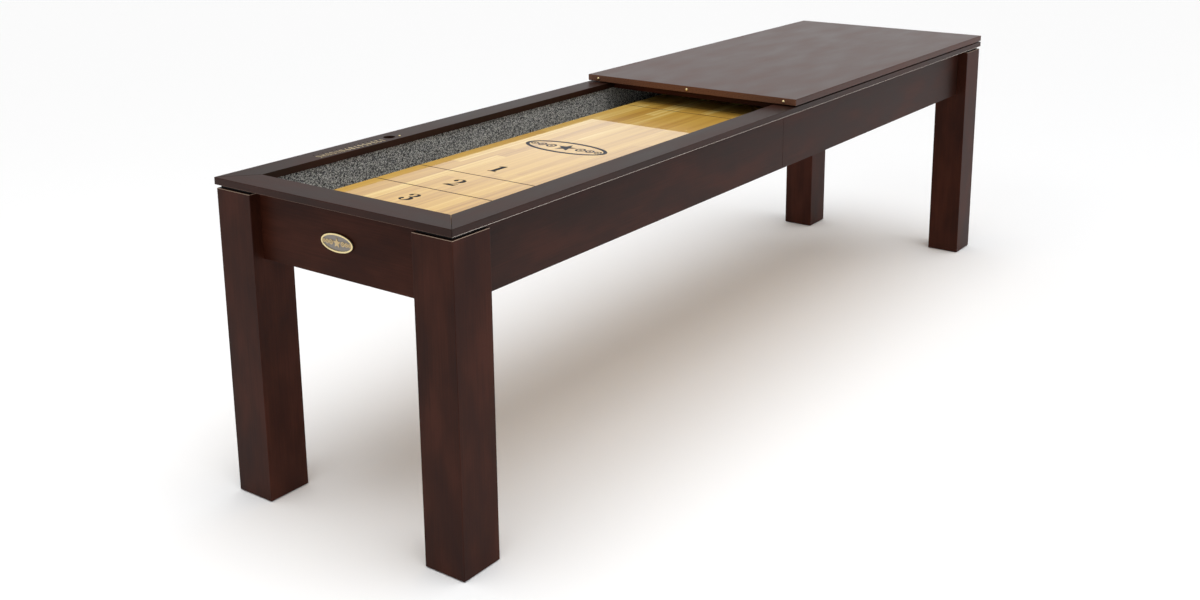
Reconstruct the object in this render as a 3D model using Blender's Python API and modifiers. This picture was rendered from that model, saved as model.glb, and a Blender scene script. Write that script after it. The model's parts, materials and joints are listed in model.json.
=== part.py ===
"""Shuffleboard table with a lift-off dining top, in metres, +Z up.

The origin is on the floor under the middle of the table. +X runs along the table from its near end,
which carries the badge, to its far end; +Y is the left-hand side seen from the near end.
"""

import math

import bmesh
import bpy
from mathutils import Matrix, Vector

# ---- driving dimensions ----
TABLE_LENGTH = 2.744
TABLE_WIDTH = 0.700
CAP_TOP = 0.750
FIT = 0.0003  # gap between two pieces that touch

CAP_THICK = 0.0165
CAP_OVERHANG = 0.003  # past the legs' outer faces
LONG_RAIL_WIDTH = 0.0705
END_RAIL_WIDTH = 0.0745
CAP_EDGE = 0.0008

LEG_X = 0.110
LEG_Y = 0.108
LEG_EDGE = 0.0012
LEG_CAP_GAP = 0.008  # shadow gap between a leg's top and the cap
SPACER_SETBACK = 0.007
FOOT_SHOW = 0.002  # the leg's end clears the floor by this much

END_APRON_SETBACK = 0.028  # behind the legs' outer faces
SIDE_APRON_SETBACK = 0.034
APRON_THICK = 0.022
APRON_DEPTH = 0.159
APRON_EDGE = 0.0008
SEAM_GAP = 0.0006

FLOOR_DROP = 0.1035  # from the cap's underside to the cabinet floor
FLOOR_THICK = 0.015
CARPET_THICK = 0.004
CARPET_TUCK = 0.020  # how far the gutter carpet reaches under the playfield

PLAYFIELD_DROP = 0.047  # below the cap's top
PLAYFIELD_THICK = 0.038
PLAYFIELD_EDGE = 0.0015
GUTTER_WIDTH = 0.0935
BEARER_WIDTH = 0.060
BEARER_INSET = 0.030
BEARER_FROM_END = 0.250

CROSS_RAIL_WIDTH = 0.060
CROSS_RAIL_FROM_MIDDLE = 0.660
FRAME_RAISE = 0.003  # cross rails and braces stop this far above the aprons' lower edge
BRACE_SIDE = 0.120

PAD_DIAMETER = 0.040
PAD_THICK = 0.008
PAD_EDGE = 0.0015
STUD_DIAMETER = 0.010
LEVELLER_TRAVEL = 0.015
STUD_HELD = 0.030  # still in the leg when the leveller is all the way out
BORE_CLEARANCE = 0.0006
PAD_CLEARANCE = 0.002

PANEL_THICK = 0.018
PANEL_GAP = 0.0032  # held off the cap by the felt pads
PANEL_EDGE = 0.0012
BATTEN_WIDTH = 0.030
BATTEN_DEPTH = 0.020
BATTEN_CLEARANCE = 0.003
NEAR_BATTEN_SETBACK = 0.030
FELT_LENGTH = 0.034
FELT_WIDTH = 0.022
FELT_INSET = 0.024
PIN_DIAMETER = 0.008
PIN_SEAT = 0.018
PIN_SHOW = 0.0055
PIN_CLEARANCE = 0.0003
PIN_FROM_SIDE = 0.038
PIN_DOME_STEPS = 4

BADGE_WIDTH = 0.093
BADGE_HEIGHT = 0.040
BADGE_THICK = 0.003
BADGE_STEPS = 48

SCORE_COUNT = 15
SCORE_PITCH = 0.0144
SCORE_FIRST_FROM_END = 0.260
SCORE_HOLE_DIAMETER = 0.0036
SCORE_HOLE_DEPTH = 0.010
SCORE_HOLE_FROM_EDGE = 0.041  # from the rail's inner edge
CUP_DIAMETER = 0.030
CUP_DEPTH = 0.011
CUP_FROM_EDGE = 0.0305
CUP_AFTER_LAST = 0.0344
PEG_DIAMETER = 0.0032
PEG_LENGTH = 0.021
PEG_HEAD_EDGE = 0.0005
PEG_POINT_DIAMETER = 0.0016
PEG_SPACING = 0.0065

ADJUSTER_FROM_MIDDLE = 0.480
BRACKET_INSET = 0.046  # bracket centres, from the playfield's edges
BRACKET_LENGTH = 0.030
BRACKET_WIDTH = 0.024
BRACKET_DEPTH = 0.026
ROD_DIAMETER = 0.008
ROD_CLEARANCE = 0.0003
NUT_ACROSS = 0.014
NUT_THICK = 0.0065
TURNBUCKLE_LENGTH = 0.050
TURNBUCKLE_ACROSS = 0.018

# ---- places that follow from them ----
HALF_X = TABLE_LENGTH / 2
HALF_Y = TABLE_WIDTH / 2
LEG_OUT_X = HALF_X - CAP_OVERHANG
LEG_OUT_Y = HALF_Y - CAP_OVERHANG
CAP_UNDER = CAP_TOP - CAP_THICK
LEG_TOP = CAP_UNDER - LEG_CAP_GAP
STUD_TOP = PAD_THICK + LEVELLER_TRAVEL + STUD_HELD
OPEN_X = HALF_X - END_RAIL_WIDTH
OPEN_Y = HALF_Y - LONG_RAIL_WIDTH
APRON_OUT_X = LEG_OUT_X - END_APRON_SETBACK
APRON_OUT_Y = LEG_OUT_Y - SIDE_APRON_SETBACK
APRON_IN_X = APRON_OUT_X - APRON_THICK
APRON_IN_Y = APRON_OUT_Y - APRON_THICK
APRON_TOP = CAP_UNDER - FIT
APRON_LOW = CAP_UNDER - APRON_DEPTH
FLOOR_TOP = CAP_UNDER - FLOOR_DROP
FLOOR_LOW = FLOOR_TOP - FLOOR_THICK
PLAYFIELD_TOP = CAP_TOP - PLAYFIELD_DROP
PLAYFIELD_LOW = PLAYFIELD_TOP - PLAYFIELD_THICK
PLAYFIELD_X = OPEN_X - GUTTER_WIDTH
PLAYFIELD_Y = OPEN_Y - GUTTER_WIDTH
ADJUSTER_REACH = PLAYFIELD_Y - BRACKET_INSET
PANEL_LOW = CAP_TOP + PANEL_GAP
PANEL_TOP = PANEL_LOW + PANEL_THICK
CORNERS = {
    "near_left": (-1, 1),
    "near_right": (-1, -1),
    "far_left": (1, 1),
    "far_right": (1, -1),
}
ROUND_STEPS = 32
SMALL_STEPS = 16


def clear_scene():
    for obj in list(bpy.data.objects):
        bpy.data.objects.remove(obj, do_unlink=True)


def new_collection(name):
    collection = bpy.data.collections.new(name)
    bpy.context.scene.collection.children.link(collection)
    return collection


def principled(name, color, roughness, metallic=0.0):
    material = bpy.data.materials.new(name)
    material.use_nodes = True
    shader = material.node_tree.nodes["Principled BSDF"]
    shader.inputs["Base Color"].default_value = (*color, 1.0)
    shader.inputs["Roughness"].default_value = roughness
    shader.inputs["Metallic"].default_value = metallic
    return material


clear_scene()
TABLE = new_collection("shuffleboard_table")
CUTTERS = new_collection("cutters")

ESPRESSO = principled("espresso_wood", (0.035, 0.018, 0.014), 0.35)
MAPLE = principled("maple", (0.80, 0.58, 0.30), 0.12)
PINE = principled("pine", (0.55, 0.38, 0.20), 0.6)
CARPET = principled("grey_carpet", (0.13, 0.135, 0.13), 0.95)
FELT = principled("felt", (0.02, 0.02, 0.02), 0.95)
BRASS = principled("brass", (0.75, 0.55, 0.25), 0.3, 1.0)
STEEL = principled("zinc_steel", (0.6, 0.6, 0.62), 0.35, 1.0)
RUBBER = principled("rubber", (0.02, 0.02, 0.02), 0.8)
BLACK = principled("black_stain", (0.006, 0.005, 0.005), 0.6)


def add_object(name, mesh, material, location=(0, 0, 0)):
    obj = bpy.data.objects.new(name, mesh)
    obj.location = location
    mesh.materials.append(material)
    TABLE.objects.link(obj)
    return obj


def mesh_from(bm, name):
    bmesh.ops.recalc_face_normals(bm, faces=bm.faces)
    mesh = bpy.data.meshes.new(name)
    bm.to_mesh(mesh)
    bm.free()
    return mesh


def box_mesh(name, size):
    bm = bmesh.new()
    bmesh.ops.create_cube(bm, size=1.0)
    bmesh.ops.scale(bm, vec=size, verts=bm.verts)
    return mesh_from(bm, name)


def bevel(obj, width):
    modifier = obj.modifiers.new("edge", "BEVEL")
    modifier.width = width
    modifier.segments = 2
    modifier.limit_method = "ANGLE"


def box(name, low, high, material, edge=0.0):
    """A plain block between two corners, its edges eased by edge."""
    low, high = Vector(low), Vector(high)
    obj = add_object(name, box_mesh(name, high - low), material, (low + high) / 2)
    if edge:
        bevel(obj, edge)
    return obj


def cutter(name, mesh, location=(0, 0, 0), rotation=(0, 0, 0)):
    obj = bpy.data.objects.new(name, mesh)
    obj.location = location
    obj.rotation_euler = rotation
    obj.hide_render = True
    obj.display_type = "WIRE"
    CUTTERS.objects.link(obj)
    return obj


def box_cutter(name, low, high):
    low, high = Vector(low), Vector(high)
    return cutter(name, box_mesh(name, high - low), (low + high) / 2)


def cylinder_mesh(name, diameter, depth, segments):
    bm = bmesh.new()
    bmesh.ops.create_cone(
        bm,
        cap_ends=True,
        segments=segments,
        radius1=diameter / 2,
        radius2=diameter / 2,
        depth=depth,
    )
    return mesh_from(bm, name)


def boolean(obj, other, operation="DIFFERENCE"):
    modifier = obj.modifiers.new(other.name, "BOOLEAN")
    modifier.operation = operation
    modifier.solver = "EXACT"
    modifier.object = other


def outline(name, points, low, high, material):
    """A flat shape with these corners, between two heights."""
    curve = bpy.data.curves.new(name, "CURVE")
    curve.dimensions = "2D"
    curve.fill_mode = "BOTH"
    curve.extrude = (high - low) / 2
    spline = curve.splines.new("POLY")
    spline.points.add(len(points) - 1)
    for point, (x, y) in zip(spline.points, points):
        point.co = (x, y, 0, 1)
    spline.use_cyclic_u = True
    obj = bpy.data.objects.new(name, curve)
    obj.location = (0, 0, (low + high) / 2)
    curve.materials.append(material)
    TABLE.objects.link(obj)
    return obj


def turned_mesh(name, profile):
    """Points and edges of a profile that a Screw turns about Z."""
    bm = bmesh.new()
    verts = [bm.verts.new((radius, 0, height)) for radius, height in profile]
    for first, second in zip(verts, verts[1:]):
        bm.edges.new((first, second))
    mesh = bpy.data.meshes.new(name)
    bm.to_mesh(mesh)
    bm.free()
    return mesh


def screw(obj, steps):
    modifier = obj.modifiers.new("turned", "SCREW")
    modifier.steps = steps
    modifier.render_steps = steps
    modifier.use_merge_vertices = True
    modifier.merge_threshold = 0.00001


def turned(name, profile, material, location, rotation=(0, 0, 0), steps=ROUND_STEPS):
    obj = add_object(name, turned_mesh(name, profile), material, location)
    obj.rotation_euler = rotation
    screw(obj, steps)
    return obj


def mirrored(value, sign):
    """Low and high of a span given on the positive side, taken to the side of this sign."""
    return tuple(sorted((value[0] * sign, value[1] * sign)))


def span_box(name, xs, ys, zs, material, edge=0.0):
    corners = list(zip(sorted(xs), sorted(ys), sorted(zs)))
    return box(name, corners[0], corners[1], material, edge)


# ---- legs ----
def leveller_bore(name, x, y):
    """Counterbore for the pad with a bore above it for the stud."""
    bottom = -FOOT_SHOW
    pad_radius = PAD_DIAMETER / 2 + PAD_CLEARANCE
    stud_radius = STUD_DIAMETER / 2 + BORE_CLEARANCE
    step = FOOT_SHOW + PAD_THICK + PAD_CLEARANCE
    top = STUD_TOP + PAD_CLEARANCE
    profile = [(0, top), (stud_radius, top), (stud_radius, step), (pad_radius, step)]
    profile += [(pad_radius, bottom), (0, bottom)]
    bore = cutter(name, turned_mesh(name, profile), (x, y, 0))
    screw(bore, ROUND_STEPS)
    return bore


def leg(corner, sx, sy):
    """A square post. Its top is notched round the outside of the cabinet's corner, which sits in it."""
    xs = mirrored((LEG_OUT_X - LEG_X, LEG_OUT_X), sx)
    ys = mirrored((LEG_OUT_Y - LEG_Y, LEG_OUT_Y), sy)
    post = span_box("leg_" + corner, xs, ys, (FOOT_SHOW, LEG_TOP), ESPRESSO, LEG_EDGE)
    notch_xs = mirrored((0, APRON_OUT_X + FIT), sx)
    notch_ys = mirrored((0, APRON_OUT_Y + FIT), sy)
    low = (notch_xs[0], notch_ys[0], APRON_LOW - FIT)
    high = (notch_xs[1], notch_ys[1], CAP_TOP)
    boolean(post, box_cutter("notch_" + corner, low, high))
    centre = (sx * (LEG_OUT_X - LEG_X / 2), sy * (LEG_OUT_Y - LEG_Y / 2))
    boolean(post, leveller_bore("leveller_bore_" + corner, *centre))
    return centre


def leg_spacer(corner, sx, sy):
    """The dark L-shaped block that holds the cap off the leg and leaves the shadow gap."""
    outer_x, outer_y = LEG_OUT_X - SPACER_SETBACK, LEG_OUT_Y - SPACER_SETBACK
    inner_x = LEG_OUT_X - LEG_X + SPACER_SETBACK
    inner_y = LEG_OUT_Y - LEG_Y + SPACER_SETBACK
    notch_x, notch_y = APRON_OUT_X + FIT, APRON_OUT_Y + FIT
    points = [(outer_x, outer_y), (inner_x, outer_y), (inner_x, notch_y)]
    points += [(notch_x, notch_y), (notch_x, inner_y), (outer_x, inner_y)]
    points = [(sx * x, sy * y) for x, y in points]
    outline("leg_spacer_" + corner, points, LEG_TOP + FIT, CAP_UNDER - FIT, BLACK)


def leveller(corner, centre):
    """A foot pad and its threaded stud, turned as one."""
    pad, stud, top = PAD_DIAMETER / 2, STUD_DIAMETER / 2, STUD_TOP
    profile = [(0, top), (stud - PAD_EDGE / 2, top), (stud, top - PAD_EDGE / 2), (stud, PAD_THICK)]
    profile += [(pad - PAD_EDGE, PAD_THICK), (pad, PAD_THICK - PAD_EDGE)]
    profile += [(pad, PAD_EDGE), (pad - PAD_EDGE, 0), (0, 0)]
    turned("leveller_" + corner, profile, RUBBER, (*centre, 0))


def legs():
    for corner, (sx, sy) in CORNERS.items():
        centre = leg(corner, sx, sy)
        leg_spacer(corner, sx, sy)
        leveller(corner, centre)


# ---- cabinet ----
def aprons():
    for end, sx in (("near", -1), ("far", 1)):
        xs = mirrored((SEAM_GAP / 2, APRON_OUT_X), sx)
        for side, sy in (("left", 1), ("right", -1)):
            ys = mirrored((APRON_IN_Y, APRON_OUT_Y), sy)
            name = f"side_apron_{end}_{side}"
            span_box(name, xs, ys, (APRON_LOW, APRON_TOP), ESPRESSO, APRON_EDGE)
        end_xs = mirrored((APRON_IN_X, APRON_OUT_X), sx)
        end_ys = (FIT - APRON_IN_Y, APRON_IN_Y - FIT)
        span_box(f"{end}_end_apron", end_xs, end_ys, (APRON_LOW, APRON_TOP), ESPRESSO, APRON_EDGE)


def floor():
    ys = (FIT - APRON_IN_Y, APRON_IN_Y - FIT)
    for end, sx in (("near", -1), ("far", 1)):
        xs = mirrored((SEAM_GAP / 2, APRON_IN_X - FIT), sx)
        span_box(f"{end}_floor_board", xs, ys, (FLOOR_LOW, FLOOR_TOP), PINE)
    zs = (APRON_LOW + FRAME_RAISE, FLOOR_LOW - FIT)
    places = (("near", -CROSS_RAIL_FROM_MIDDLE), ("middle", 0.0), ("far", CROSS_RAIL_FROM_MIDDLE))
    for name, x in places:
        xs = (x - CROSS_RAIL_WIDTH / 2, x + CROSS_RAIL_WIDTH / 2)
        span_box(f"{name}_cross_rail", xs, ys, zs, PINE, CAP_EDGE)


def corner_braces():
    """Three-cornered blocks in the cabinet's corners, under the floor, which the leg bolts pull on."""
    outer_x, outer_y = APRON_IN_X - FIT, APRON_IN_Y - FIT
    for corner, (sx, sy) in CORNERS.items():
        points = [(outer_x, outer_y), (outer_x - BRACE_SIDE, outer_y), (outer_x, outer_y - BRACE_SIDE)]
        points = [(sx * x, sy * y) for x, y in points]
        outline("corner_brace_" + corner, points, APRON_LOW + FRAME_RAISE, FLOOR_LOW - FIT, PINE)


def carpet_piece(name, wall_low, wall_high, floor_low, floor_high):
    """One strip of carpet folded up the wall from the gutter's floor."""
    piece = span_box(name, *zip(wall_low, wall_high), CARPET)
    floor_part = box_cutter(name + "_floor", floor_low, floor_high)
    boolean(piece, floor_part, "UNION")


def carpets():
    low, top = FLOOR_TOP + FIT, CAP_UNDER - FIT
    wall_x, wall_y = APRON_IN_X - FIT, APRON_IN_Y - FIT
    tuck_x, tuck_y = PLAYFIELD_X - CARPET_TUCK, PLAYFIELD_Y - CARPET_TUCK
    for side, sy in (("left", 1), ("right", -1)):
        wall = mirrored((wall_y - CARPET_THICK, wall_y), sy)
        flat = mirrored((tuck_y, wall_y), sy)
        carpet_piece(
            f"gutter_carpet_{side}",
            (-wall_x, wall[0], low),
            (wall_x, wall[1], top),
            (-wall_x, flat[0], low),
            (wall_x, flat[1], low + CARPET_THICK),
        )
    for end, sx in (("near", -1), ("far", 1)):
        wall = mirrored((wall_x - CARPET_THICK, wall_x), sx)
        flat = mirrored((tuck_x, wall_x), sx)
        across, inside = wall_y - CARPET_THICK - FIT, tuck_y - FIT
        carpet_piece(
            f"gutter_carpet_{end}",
            (wall[0], -across, low + CARPET_THICK + FIT),
            (wall[1], across, top),
            (flat[0], -inside, low),
            (flat[1], inside, low + CARPET_THICK + 2 * FIT),
        )


# ---- playfield ----
def playfield():
    low = (-PLAYFIELD_X, -PLAYFIELD_Y, PLAYFIELD_LOW)
    high = (PLAYFIELD_X, PLAYFIELD_Y, PLAYFIELD_TOP)
    box("playfield", low, high, MAPLE, PLAYFIELD_EDGE)
    ys = (BEARER_INSET - PLAYFIELD_Y, PLAYFIELD_Y - BEARER_INSET)
    zs = (FLOOR_TOP + FIT, PLAYFIELD_LOW - FIT)
    bearer_x = PLAYFIELD_X - BEARER_FROM_END
    for name, x in (("near", -bearer_x), ("middle", 0.0), ("far", bearer_x)):
        xs = (x - BEARER_WIDTH / 2, x + BEARER_WIDTH / 2)
        span_box(f"{name}_playfield_bearer", xs, ys, zs, PINE, CAP_EDGE)


def hexagon(name, across, length, location):
    """A hexagonal bar along Y, to be joined onto a rod."""
    mesh = cylinder_mesh(name, across / math.cos(math.pi / 6), length, 6)
    return cutter(name, mesh, location, (math.pi / 2, 0, 0))


def climatic_adjuster(end, x):
    """A threaded rod across the underside of the playfield, which two brackets hold at its ends."""
    top = PLAYFIELD_LOW - FIT
    rod_z = top - BRACKET_DEPTH / 2
    bore_size = ROD_DIAMETER + 2 * ROD_CLEARANCE
    for side, sy in (("left", 1), ("right", -1)):
        y = sy * ADJUSTER_REACH
        low = (x - BRACKET_LENGTH / 2, y - BRACKET_WIDTH / 2, top - BRACKET_DEPTH)
        high = (x + BRACKET_LENGTH / 2, y + BRACKET_WIDTH / 2, top)
        bracket = box(f"{end}_adjuster_bracket_{side}", low, high, STEEL, CAP_EDGE)
        mesh = cylinder_mesh(bracket.name + "_bore", bore_size, 2 * BRACKET_WIDTH, SMALL_STEPS * 2)
        boolean(bracket, cutter(mesh.name, mesh, (x, y, rod_z), (math.pi / 2, 0, 0)))
    nut_y = ADJUSTER_REACH + BRACKET_WIDTH / 2 + ROD_CLEARANCE + NUT_THICK / 2
    rod_length = 2 * (nut_y + NUT_THICK)
    mesh = cylinder_mesh(f"{end}_adjuster_rod", ROD_DIAMETER, rod_length, SMALL_STEPS)
    rod = add_object(mesh.name, mesh, STEEL, (x, 0, rod_z))
    rod.rotation_euler = (math.pi / 2, 0, 0)
    boolean(
        rod,
        hexagon(f"{end}_turnbuckle", TURNBUCKLE_ACROSS, TURNBUCKLE_LENGTH, (x, 0, rod_z)),
        "UNION",
    )
    for side, sy in (("left", 1), ("right", -1)):
        nut = hexagon(f"{end}_nut_{side}", NUT_ACROSS, NUT_THICK, (x, sy * nut_y, rod_z))
        boolean(rod, nut, "UNION")


# ---- top rails ----
def mitred_rail(name, length, width, across_x, location, long_edge_sign):
    """A flat rail whose ends are cut on the mitre between the outer and the inner corner."""
    bm = bmesh.new()
    bmesh.ops.create_cube(bm, size=1.0)
    size = (width, length, CAP_THICK) if across_x else (length, width, CAP_THICK)
    bmesh.ops.scale(bm, vec=size, verts=bm.verts)
    out = Vector((long_edge_sign, 0, 0)) if across_x else Vector((0, long_edge_sign, 0))
    along = Vector((0, 1, 0)) if across_x else Vector((1, 0, 0))
    other_width = LONG_RAIL_WIDTH if across_x else END_RAIL_WIDTH
    for end in (-1, 1):
        corner = out * width / 2 + along * end * length / 2
        inward = -out * width - along * end * other_width
        normal = Vector((-inward.y, inward.x, 0)).normalized()
        if normal.dot(along) * end < 0:
            normal = -normal
        bmesh.ops.bisect_plane(
            bm,
            geom=bm.verts[:] + bm.edges[:] + bm.faces[:],
            plane_co=corner - normal * FIT,
            plane_no=normal,
            clear_outer=True,
        )
        bmesh.ops.holes_fill(bm, edges=[edge for edge in bm.edges if edge.is_boundary])
    rail = add_object(name, mesh_from(bm, name), ESPRESSO, location)
    bevel(rail, CAP_EDGE)
    return rail


def score_cutters(rail):
    """Peg holes beside each number and the round cup that the pegs are kept in."""
    hole_y = OPEN_Y + SCORE_HOLE_FROM_EDGE
    first_x = SCORE_FIRST_FROM_END - HALF_X
    for index in range(SCORE_COUNT):
        name = f"peg_hole_{index + 1}"
        mesh = cylinder_mesh(name, SCORE_HOLE_DIAMETER, 2 * SCORE_HOLE_DEPTH, SMALL_STEPS // 2)
        boolean(rail, cutter(name, mesh, (first_x + index * SCORE_PITCH, hole_y, CAP_TOP)))
    mesh = cylinder_mesh("peg_cup", CUP_DIAMETER, 2 * CUP_DEPTH, ROUND_STEPS)
    boolean(rail, cutter("peg_cup", mesh, (cup_x(), OPEN_Y + CUP_FROM_EDGE, CAP_TOP)))


def cup_x():
    return SCORE_FIRST_FROM_END - HALF_X + (SCORE_COUNT - 1) * SCORE_PITCH + CUP_AFTER_LAST


def cap():
    z = CAP_TOP - CAP_THICK / 2
    for side, sy in (("left", 1), ("right", -1)):
        y = sy * (HALF_Y - LONG_RAIL_WIDTH / 2)
        rail = mitred_rail(f"{side}_top_rail", TABLE_LENGTH, LONG_RAIL_WIDTH, False, (0, y, z), sy)
        if side == "left":
            score_cutters(rail)
    for end, sx in (("near", -1), ("far", 1)):
        x = sx * (HALF_X - END_RAIL_WIDTH / 2)
        mitred_rail(f"{end}_top_rail", TABLE_WIDTH, END_RAIL_WIDTH, True, (x, 0, z), sx)


def score_pegs():
    """Two pegs lying side by side in the cup."""
    radius = PEG_DIAMETER / 2
    z = CAP_TOP - CUP_DEPTH + FIT + radius
    half = PEG_LENGTH / 2
    profile = [(0, half), (radius - PEG_HEAD_EDGE, half), (radius, half - PEG_HEAD_EDGE)]
    profile += [(radius, radius - half), (PEG_POINT_DIAMETER / 2, -half), (0, -half)]
    for name, side, material in (("light", 1, BRASS), ("dark", -1, BLACK)):
        y = OPEN_Y + CUP_FROM_EDGE + side * PEG_SPACING / 2
        turned(f"{name}_score_peg", profile, material, (cup_x(), y, z), (0, math.pi / 2, 0), SMALL_STEPS)


# ---- dining top ----
def dining_top():
    low, high = (0, -HALF_Y, PANEL_LOW), (HALF_X, HALF_Y, PANEL_TOP)
    panel = box("dining_top_panel", low, high, ESPRESSO, PANEL_EDGE)
    pin_z = (PANEL_LOW + PANEL_TOP) / 2
    pin_y = HALF_Y - PIN_FROM_SIDE
    for side, y in (("left", pin_y), ("middle", 0.0), ("right", -pin_y)):
        name = f"pin_bore_{side}"
        mesh = cylinder_mesh(name, PIN_DIAMETER + 2 * PIN_CLEARANCE, 2 * (PIN_SEAT + FIT), ROUND_STEPS // 2)
        boolean(panel, cutter(name, mesh, (0, y, pin_z), (0, math.pi / 2, 0)))
        alignment_pin(side, y, pin_z)
    battens()
    felt_pads()


def alignment_pin(side, y, z):
    """A brass dowel with a domed tip, standing out of the panel's near edge."""
    radius = PIN_DIAMETER / 2
    angles = [math.pi / 2 * step / PIN_DOME_STEPS for step in range(PIN_DOME_STEPS + 1)]
    dome = [(radius * math.sin(a), PIN_SHOW - radius + radius * math.cos(a)) for a in angles]
    profile = dome + [(radius, -PIN_SEAT), (0, -PIN_SEAT)]
    turned(f"alignment_pin_{side}", profile, BRASS, (0, y, z), (0, -math.pi / 2, 0), SMALL_STEPS)


def battens():
    """Cleats under the panel that drop into the well and keep the panel from sliding."""
    half_y = OPEN_Y - BATTEN_CLEARANCE
    zs = (PANEL_LOW - FIT - BATTEN_DEPTH, PANEL_LOW - FIT)
    near = (NEAR_BATTEN_SETBACK, NEAR_BATTEN_SETBACK + BATTEN_WIDTH)
    far = (OPEN_X - BATTEN_CLEARANCE - BATTEN_WIDTH, OPEN_X - BATTEN_CLEARANCE)
    for name, xs in (("near", near), ("far", far)):
        span_box(f"{name}_panel_batten", xs, (-half_y, half_y), zs, ESPRESSO, CAP_EDGE)


def felt_pads():
    zs = (CAP_TOP + FIT, PANEL_LOW - FIT)
    middle_y = HALF_Y - LONG_RAIL_WIDTH / 2
    for end, x in (("near", FELT_INSET + FELT_LENGTH / 2), ("far", HALF_X - FELT_INSET - FELT_LENGTH / 2)):
        for side, sy in (("left", 1), ("right", -1)):
            xs = (x - FELT_LENGTH / 2, x + FELT_LENGTH / 2)
            ys = mirrored((middle_y - FELT_WIDTH / 2, middle_y + FELT_WIDTH / 2), sy)
            span_box(f"felt_pad_{end}_{side}", xs, ys, zs, FELT)


def badge():
    """An oval plate on the middle of the near end apron."""
    bm = bmesh.new()
    bmesh.ops.create_cone(bm, cap_ends=True, segments=BADGE_STEPS, radius1=0.5, radius2=0.5, depth=1.0)
    bmesh.ops.rotate(bm, matrix=Matrix.Rotation(math.pi / 2, 3, "Y"), verts=bm.verts)
    bmesh.ops.scale(bm, vec=(BADGE_THICK, BADGE_WIDTH, BADGE_HEIGHT), verts=bm.verts)
    x = -APRON_OUT_X - FIT - BADGE_THICK / 2
    plate = add_object("badge", mesh_from(bm, "badge"), BRASS, (x, 0, (APRON_LOW + APRON_TOP) / 2))
    bevel(plate, CAP_EDGE)


def shade_round_pieces():
    for obj in TABLE.objects:
        if obj.type == "MESH":
            obj.data.shade_smooth()
            obj.data.set_sharp_from_angle(angle=math.radians(30))


legs()
aprons()
floor()
corner_braces()
carpets()
playfield()
climatic_adjuster("near", -ADJUSTER_FROM_MIDDLE)
climatic_adjuster("far", ADJUSTER_FROM_MIDDLE)
cap()
score_pegs()
dining_top()
badge()
shade_round_pieces()
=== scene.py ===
"""Looks of the shuffleboard table: its finishes, the playfield's markings, the scorer, the badge and
the fasteners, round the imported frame. Metres, +Z up; +X runs from the near end, which has the badge,
to the far end, which is under the dining panel."""

import json
import math

import bmesh
import bpy
from mathutils import Euler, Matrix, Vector


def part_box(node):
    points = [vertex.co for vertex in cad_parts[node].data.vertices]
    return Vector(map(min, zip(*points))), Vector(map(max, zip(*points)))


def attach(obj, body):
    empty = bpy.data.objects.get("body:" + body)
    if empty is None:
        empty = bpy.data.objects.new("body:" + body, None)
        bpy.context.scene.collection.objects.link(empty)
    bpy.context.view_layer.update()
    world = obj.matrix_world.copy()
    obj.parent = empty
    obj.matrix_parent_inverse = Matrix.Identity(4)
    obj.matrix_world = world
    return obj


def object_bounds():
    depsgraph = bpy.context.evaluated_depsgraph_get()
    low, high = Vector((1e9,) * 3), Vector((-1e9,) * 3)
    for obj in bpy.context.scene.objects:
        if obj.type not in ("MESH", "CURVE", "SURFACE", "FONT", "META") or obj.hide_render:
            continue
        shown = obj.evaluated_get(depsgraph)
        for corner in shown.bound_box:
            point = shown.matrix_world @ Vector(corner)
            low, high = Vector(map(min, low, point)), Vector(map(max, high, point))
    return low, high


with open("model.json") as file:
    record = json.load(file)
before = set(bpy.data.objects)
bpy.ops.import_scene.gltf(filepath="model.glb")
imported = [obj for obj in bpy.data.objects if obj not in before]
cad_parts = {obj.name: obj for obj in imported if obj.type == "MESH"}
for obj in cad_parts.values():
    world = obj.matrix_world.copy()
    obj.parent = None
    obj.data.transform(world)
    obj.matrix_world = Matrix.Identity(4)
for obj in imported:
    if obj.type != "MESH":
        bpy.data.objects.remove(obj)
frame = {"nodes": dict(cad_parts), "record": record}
CAD_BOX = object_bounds()
NODES = frame["nodes"]

MM = 0.001
HALF_LENGTH = CAD_BOX[1][0]
HALF_WIDTH = CAD_BOX[1][1]

# ---- camera, floor and light ----
CAMERA_AT = (-3.1585, -2.0146, 1.4865)
CAMERA_YAW = 0.6190  # from +X towards +Y, in radians
CAMERA_PITCH = 0.2364  # below the horizon
CAMERA_ROLL = -0.0058
CAMERA_LENS = 40.03
CAMERA_SHIFT = (-1 / 60, -1 / 8)  # of the frame's width
FLOOR_SIZE = 60.0
ROOM_LIGHT = 0.40
BACKDROP = 0.97
BANK_LIGHT = 1.2
BANK_TURN = math.radians(20)  # of the line between the two banks, from +X towards +Y
BANK_INNER = math.radians(24)  # either side of that line
BANK_OUTER = math.radians(38)
BANK_FULL_HEIGHT = math.radians(12)  # above the horizon
BANK_TOP = math.radians(18.5)
SCRIM_LIGHT = 1.8
SCRIM_ANGLE = math.radians(65)
SCRIM_TILT = math.radians(12)
# Each softbox: its place, what it faces, its size, watts and colour.
SIDE_SOFTBOX = ((1.0, -5.0, 0.9), (0, 0, 0.4), (4.0, 1.4), 48, "#eaf0ff")
NEAR_END_SOFTBOX = ((-1.5, 0.2, 2.7), (-1.3, 0, 0.7), (1.6, 1.2), 15, "#ffffff")

# ---- wood ----
EDGE_HIGHLIGHT_WITHIN = 5 * MM  # of the table's outer faces, where a pale line of painted highlight runs along the cap's lower edge
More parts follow.
